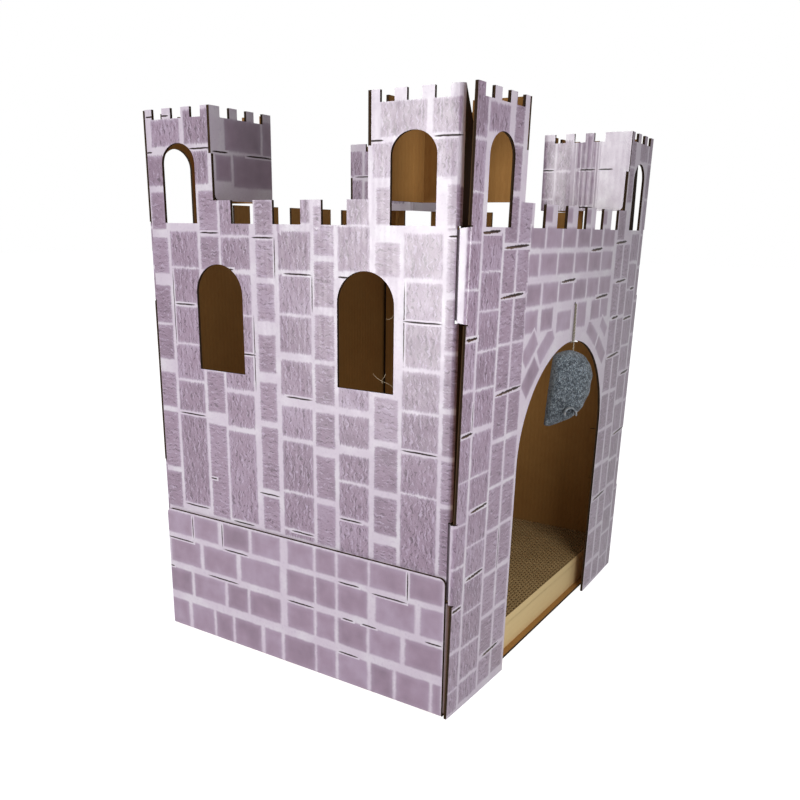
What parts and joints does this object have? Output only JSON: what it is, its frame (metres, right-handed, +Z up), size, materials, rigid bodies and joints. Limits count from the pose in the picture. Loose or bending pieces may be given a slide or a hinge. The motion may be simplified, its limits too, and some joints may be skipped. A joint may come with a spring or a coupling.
{
  "type": "cardboard play castle with scratch pad",
  "caption": "Flat-pack corrugated card castle with crenellated towers, arched doorway and windows, a corrugated scratch pad floor and a felt mouse hung on a string in the doorway.",
  "frame": {"origin": "centre of the base sheet's underside, on the floor", "axes": "+Z up, the doorway faces -Y, +X towards the right of someone looking at the doorway"},
  "size_m": [0.4766, 0.4233, 0.57],
  "materials": {
    "printed_board": "matt brick print in mauve with pale lavender joints, brown board at the cut edges and inside",
    "scratch_board": "unprinted corrugated board seen on its cut edges",
    "string": "thin twisted twine",
    "felt": "mottled grey felt"
  },
  "bodies": {
    "castle": {"front_wall": "printed_board", "back_wall": "printed_board", "left_wall": "printed_board", "right_wall": "printed_board", "tower_corner_front_left": "printed_board", "tower_corner_front_right": "printed_board", "tower_corner_back_left": "printed_board", "tower_corner_back_right": "printed_board", "base_tray": "printed_board", "scratch_pad": "scratch_board", "string_loop": "string"},
    "toy": {"toy_string": "string", "mouse_body": "felt", "mouse_ear_left": "felt", "mouse_ear_right": "felt"}
  },
  "joints": [
    {"name": "toy_swing", "type": "hinge", "parent": "castle", "child": "toy", "pos_m": [0.0013, -0.20216, 0.383], "axis": [-1, 0, 0], "range_deg": [0, 70]}
  ]
}
